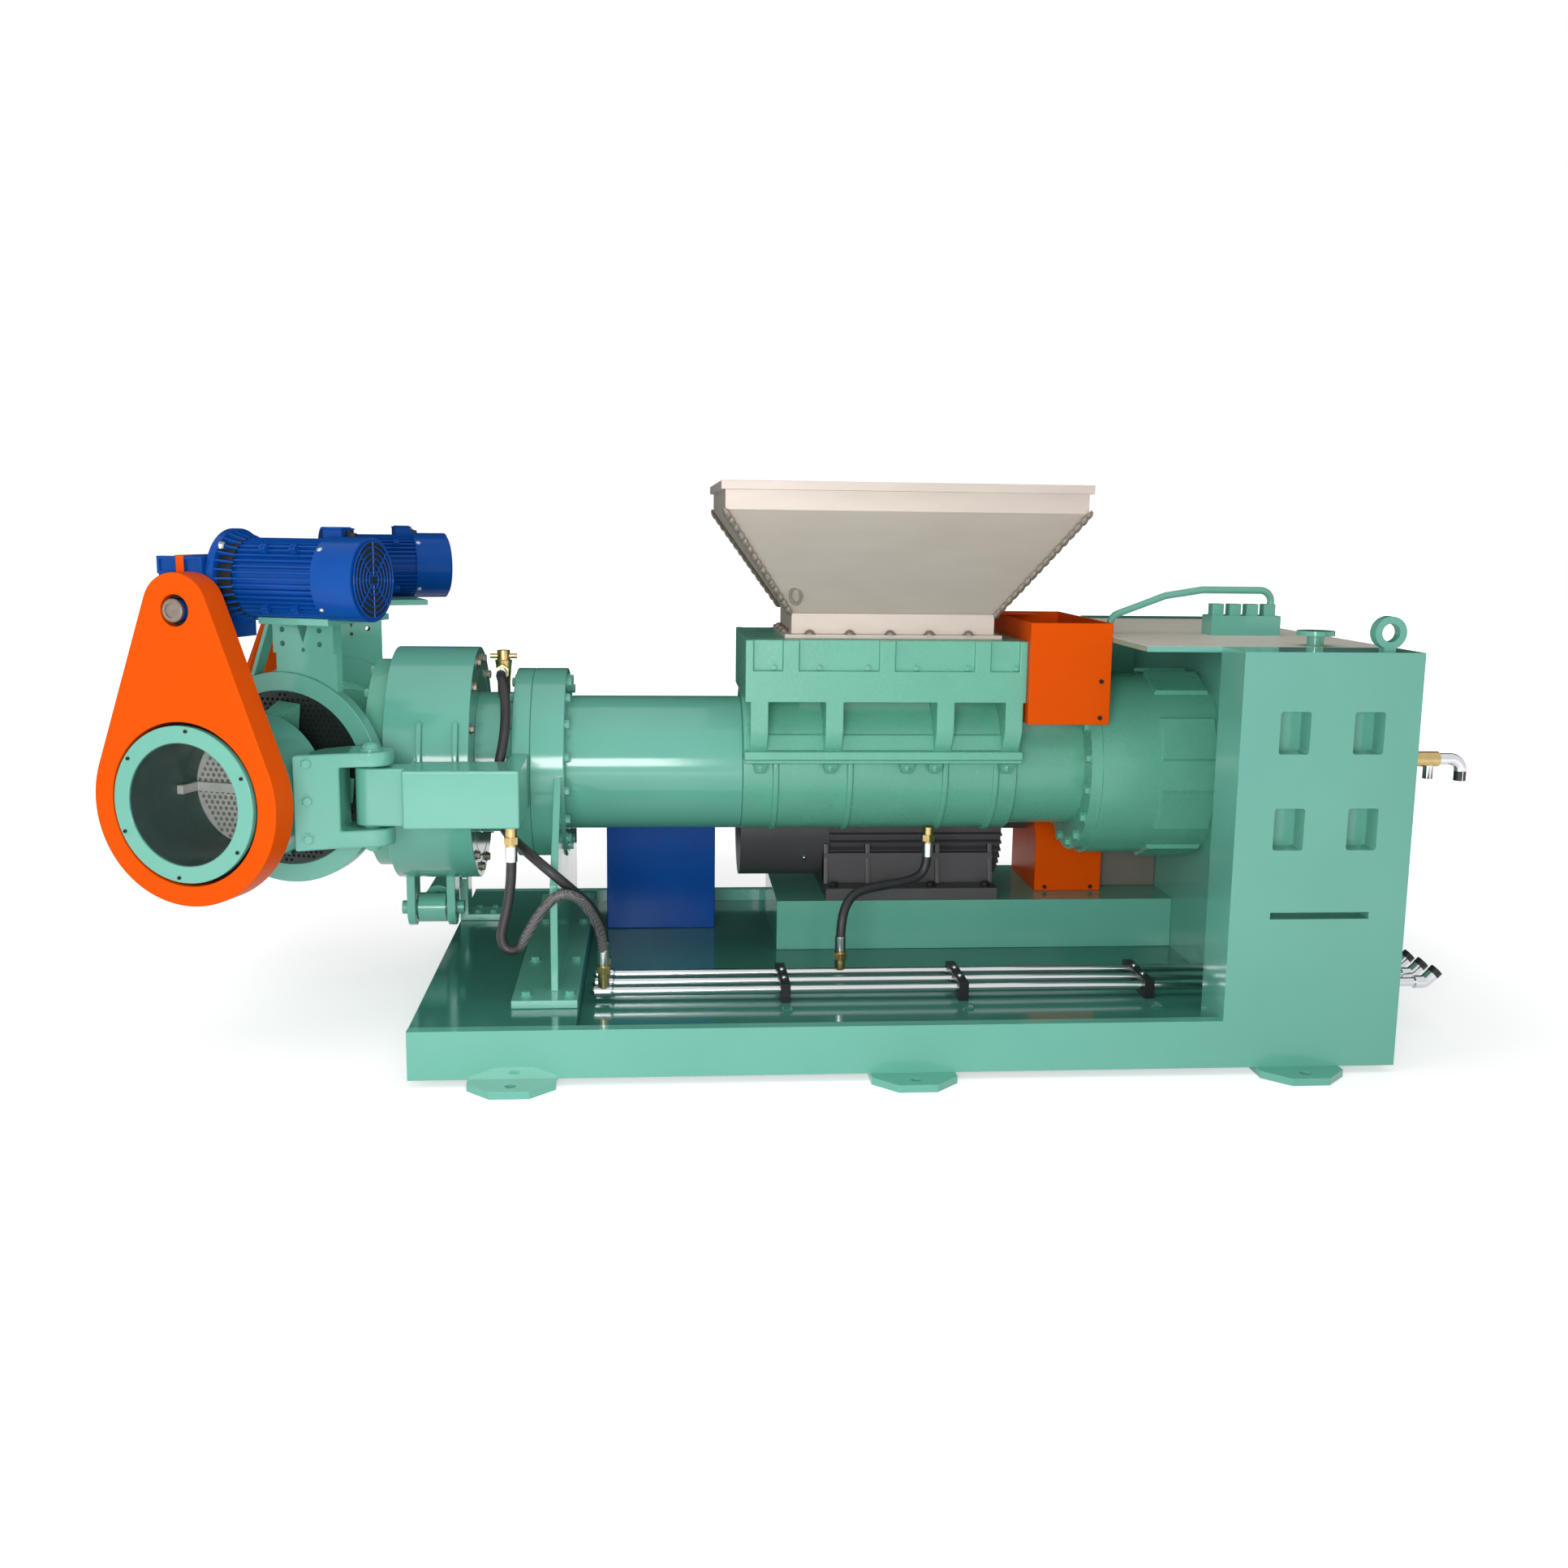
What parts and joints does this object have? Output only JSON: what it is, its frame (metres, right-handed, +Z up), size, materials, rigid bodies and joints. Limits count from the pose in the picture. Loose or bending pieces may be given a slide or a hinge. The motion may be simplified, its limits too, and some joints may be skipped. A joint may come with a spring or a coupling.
{
  "type": "rubber extruder with pelletizing head",
  "caption": "Rubber extruder on a steel base: hopper, ribbed feed box, barrel, planetary gearbox between columns, and a hinged two-outlet pelletizing head with chain-driven knife rotors.",
  "frame": {"origin": "on the floor, at the centre of the anchor bolts and under the barrel axis", "axes": "+X along the barrel from the head to the gearbox, +Y to the back (the side with the main motor), +Z up"},
  "size_m": [3.9933, 1.9, 1.675],
  "materials": {
    "machine_green": "gloss enamel",
    "cover_orange": "gloss enamel",
    "drive_blue": "gloss enamel",
    "motor_grey": "satin",
    "hopper_steel": "brushed",
    "machined_steel": "turned",
    "fitting_brass": "polished",
    "hose_rubber": "smooth"
  },
  "bodies": {
    "frame": {"side_sills": "machine_green", "left_deck": "machine_green", "tray_floor": "machine_green", "anchor_feet": "machine_green", "side_columns": "machine_green", "rear_panel": "machine_green", "gearbox_bulkhead": "machine_green", "top_deck": "machine_green", "barrel": "machine_green", "barrel_nose": "machine_green", "feed_box": "machine_green", "feed_casing": "machine_green", "gearbox": "machine_green", "pedestal": "machine_green", "lock_bracket": "machine_green", "hinge_arm": "machine_green", "motor_rail": "machine_green", "top_fittings": "machine_green", "shaft_cover": "cover_orange", "coupling_guard": "cover_orange", "oil_tank": "drive_blue", "main_motor": "motor_grey", "input_gearbox": "motor_grey", "hopper": "hopper_steel", "hopper_collar": "hopper_steel", "oil_pipes": "machined_steel", "pipe_clamps": "machined_steel", "brass_fittings": "fitting_brass", "rear_outlets": "fitting_brass", "nose_hose": "hose_rubber", "arm_hose": "hose_rubber", "feed_hose": "hose_rubber"},
    "head": {"head_manifold": "machine_green", "hinge_clevis": "machine_green", "die_holders": "machine_green", "die_plates": "machined_steel", "front_housing": "machine_green", "back_housing": "machine_green", "front_guard": "cover_orange", "back_guard": "cover_orange", "front_drive": "drive_blue", "back_drive": "drive_blue", "motor_supports": "machine_green"},
    "front_rotor": {"front_rotor": "machine_green"},
    "back_rotor": {"back_rotor": "machine_green"},
    "lock_ring": {"lock_ring": "machine_green"},
    "lock_cylinder": {"lock_cylinder": "machine_green"},
    "lock_rod": {"lock_rod": "machined_steel"}
  },
  "joints": [
    {"name": "head_swing", "type": "hinge", "parent": "frame", "child": "head", "pos_m": [-1.538, -0.55, 0.767], "axis": [0, 0, 1], "range_deg": [0, 90]},
    {"name": "front_rotor_spin", "type": "hinge", "parent": "head", "child": "front_rotor", "pos_m": [-1.714, 0, 0.784], "axis": [-0.342, -0.9397, 0], "continuous": true},
    {"name": "back_rotor_spin", "type": "hinge", "parent": "head", "child": "back_rotor", "pos_m": [-1.714, 0, 0.784], "axis": [-0.342, 0.9397, 0], "continuous": true},
    {"name": "lock_ring_turn", "type": "hinge", "parent": "frame", "child": "lock_ring", "pos_m": [-1.45, 0, 0.784], "axis": [-1, 0, 0], "range_deg": [0, 20]},
    {"name": "lock_cylinder_tilt", "type": "hinge", "parent": "frame", "child": "lock_cylinder", "pos_m": [-1.45, 0.42, 0.304], "axis": [-1, 0, 0], "range_deg": [0, 3]},
    {"name": "lock_rod_slide", "type": "slide", "parent": "lock_cylinder", "child": "lock_rod", "axis": [0, -1, 0], "range_m": [0, 0.17]}
  ],
  "couplings": [
    {"joint": "lock_cylinder_tilt", "follows": "lock_ring_turn", "ratio": 0.1418},
    {"joint": "lock_rod_slide", "follows": "lock_ring_turn", "m_per_rad": 0.4724}
  ]
}
